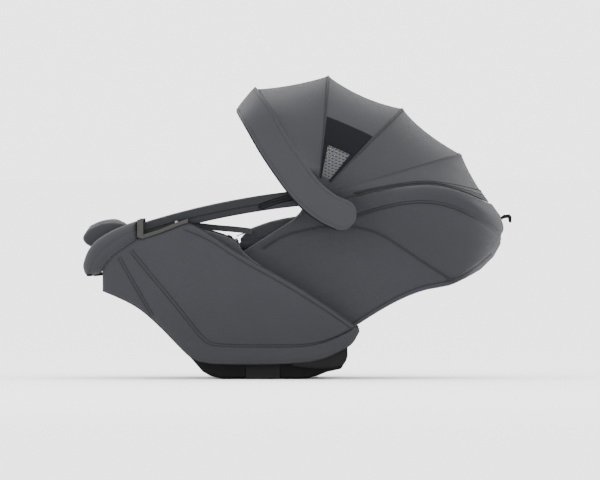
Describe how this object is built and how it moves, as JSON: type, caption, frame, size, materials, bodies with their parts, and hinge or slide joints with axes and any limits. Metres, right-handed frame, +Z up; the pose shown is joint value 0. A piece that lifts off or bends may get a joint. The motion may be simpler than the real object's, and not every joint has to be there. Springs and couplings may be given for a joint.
{
  "type": "infant car seat",
  "caption": "Lie-flat infant carrier on a black base: fabric-covered shell, reclining back, fan-folding canopy with mesh window, swinging carry handle and harness.",
  "frame": {"origin": "middle of the flat underside of the base, on the floor", "axes": "+Z up, +X towards the child's head, +Y across, so the child's left side is at -Y"},
  "size_m": [0.822, 0.4264, 0.5787],
  "materials": {
    "cover_cloth": "woven, matt",
    "liner_cloth": "knitted, matt",
    "window_mesh": "open mesh",
    "window_blind": "woven, matt",
    "webbing": "twill webbing",
    "foam_shell": "moulded foam, textured",
    "black_plastic": "fine texture",
    "red_plastic": "satin",
    "trim_plastic": "satin",
    "rail_metal": "anodised, satin",
    "steel": "brushed"
  },
  "bodies": {
    "seat": {"base_tray": "black_plastic", "base_plate_left": "black_plastic", "base_plate_right": "black_plastic", "latch_bar_front": "steel", "latch_bar_rear": "steel", "seat_shell": "foam_shell", "side_wall_left": "cover_cloth", "side_wall_right": "cover_cloth", "foot_horn_left": "cover_cloth", "foot_horn_right": "cover_cloth", "rail_trim_left": "trim_plastic", "rail_trim_right": "trim_plastic", "side_rail_left": "rail_metal", "side_rail_right": "rail_metal", "foot_roll": "cover_cloth", "leg_pad": "liner_cloth", "seat_cushion": "liner_cloth", "recline_axle": "steel", "crotch_strap": "webbing", "buckle_body": "black_plastic", "hip_strap_left": "webbing", "hip_strap_right": "webbing", "harness_tongue_left": "steel", "harness_tongue_right": "steel", "adjuster_housing": "black_plastic", "adjuster_strap": "webbing"},
    "back": {"back_wall_left": "cover_cloth", "back_wall_right": "cover_cloth", "head_wall": "cover_cloth", "back_panel": "foam_shell", "hub_pin_left": "steel", "hub_pin_right": "steel", "back_cushion": "liner_cloth", "side_bolster_left": "liner_cloth", "side_bolster_right": "liner_cloth", "shoulder_pad_left": "liner_cloth", "shoulder_pad_right": "liner_cloth", "shoulder_strap_left": "webbing", "shoulder_strap_right": "webbing"},
    "headrest": {"headrest_shell": "black_plastic", "headrest_pad": "liner_cloth"},
    "hoop_rear": {"canopy_hoop_rear": "black_plastic", "canopy_panel_neck": "cover_cloth"},
    "hoop_middle": {"canopy_hoop_middle": "black_plastic", "canopy_panel_back": "cover_cloth"},
    "hoop_front": {"canopy_hoop_front": "black_plastic", "canopy_panel_top": "cover_cloth", "window_mesh_left": "window_mesh", "window_blind_left": "window_blind", "window_mesh_right": "window_mesh", "window_blind_right": "window_blind"},
    "handle": {"carry_handle": "black_plastic", "handle_cover": "cover_cloth", "canopy_panel_front": "cover_cloth"},
    "handle_lock_left": {"handle_button_left": "black_plastic"},
    "handle_lock_right": {"handle_button_right": "black_plastic"},
    "buckle_button": {"buckle_button": "red_plastic"},
    "adjuster_button": {"adjuster_button": "red_plastic"},
    "recline_lever": {"recline_lever": "black_plastic"},
    "head_lever": {"head_lever": "black_plastic"}
  },
  "joints": [
    {"name": "recline", "type": "hinge", "parent": "seat", "child": "back", "pos_m": [0.092, 0, 0.086], "axis": [0, -1, 0], "range_deg": [0, 24], "deforming": ["shoulder_strap_left", "shoulder_strap_right"]},
    {"name": "headrest_slide", "type": "slide", "parent": "back", "child": "headrest", "axis": [0.9532, 0, 0.3024], "range_m": [0, 0.05]},
    {"name": "hoop_rear_fold", "type": "hinge", "parent": "back", "child": "hoop_rear", "pos_m": [0.095, 0, 0.35], "axis": [0, 1, 0], "range_deg": [0, 7.2], "deforming": ["canopy_panel_neck"]},
    {"name": "hoop_middle_fold", "type": "hinge", "parent": "hoop_rear", "child": "hoop_middle", "pos_m": [0.095, 0, 0.35], "axis": [0, 1, 0], "range_deg": [0, 21.4], "deforming": ["canopy_panel_back"]},
    {"name": "hoop_front_fold", "type": "hinge", "parent": "hoop_middle", "child": "hoop_front", "pos_m": [0.095, 0, 0.35], "axis": [0, 1, 0], "range_deg": [0, 31.2], "deforming": ["canopy_panel_top", "window_mesh_left", "window_mesh_right", "window_blind_left", "window_blind_right"]},
    {"name": "handle_swing", "type": "hinge", "parent": "hoop_front", "child": "handle", "pos_m": [0.095, 0, 0.35], "axis": [0, 1, 0], "range_deg": [0, 29.1], "deforming": ["canopy_panel_front"]},
    {"name": "handle_lock_left_press", "type": "slide", "parent": "handle", "child": "handle_lock_left", "axis": [0, -1, 0], "range_m": [0, 0.003], "stiffness_N_per_m": 500, "springref_m": -0.003},
    {"name": "handle_lock_right_press", "type": "slide", "parent": "handle", "child": "handle_lock_right", "axis": [0, 1, 0], "range_m": [0, 0.003], "stiffness_N_per_m": 500, "springref_m": -0.003},
    {"name": "buckle_press", "type": "slide", "parent": "seat", "child": "buckle_button", "axis": [0.4137, 0, -0.9104], "range_m": [0, 0.002], "stiffness_N_per_m": 600, "springref_m": -0.003},
    {"name": "adjuster_press", "type": "slide", "parent": "seat", "child": "adjuster_button", "axis": [-0.678, 0, -0.735], "range_m": [0, 0.0015], "stiffness_N_per_m": 600, "springref_m": -0.003},
    {"name": "recline_release", "type": "hinge", "parent": "seat", "child": "recline_lever", "pos_m": [-0.317, 0, 0.199], "axis": [0, 1, 0], "range_deg": [0, 10], "stiffness_Nm_per_rad": 0.5, "springref_deg": -11.46},
    {"name": "head_release", "type": "hinge", "parent": "back", "child": "head_lever", "pos_m": [0.447, 0, 0.304], "axis": [0, -1, 0], "range_deg": [0, 12], "stiffness_Nm_per_rad": 0.2, "springref_deg": -11.46}
  ],
  "couplings": [
    {"joint": "hoop_rear_fold", "follows": "handle_swing", "ratio": 0.244},
    {"joint": "hoop_middle_fold", "follows": "handle_swing", "ratio": 0.732},
    {"joint": "hoop_front_fold", "follows": "handle_swing", "ratio": 1.069}
  ]
}
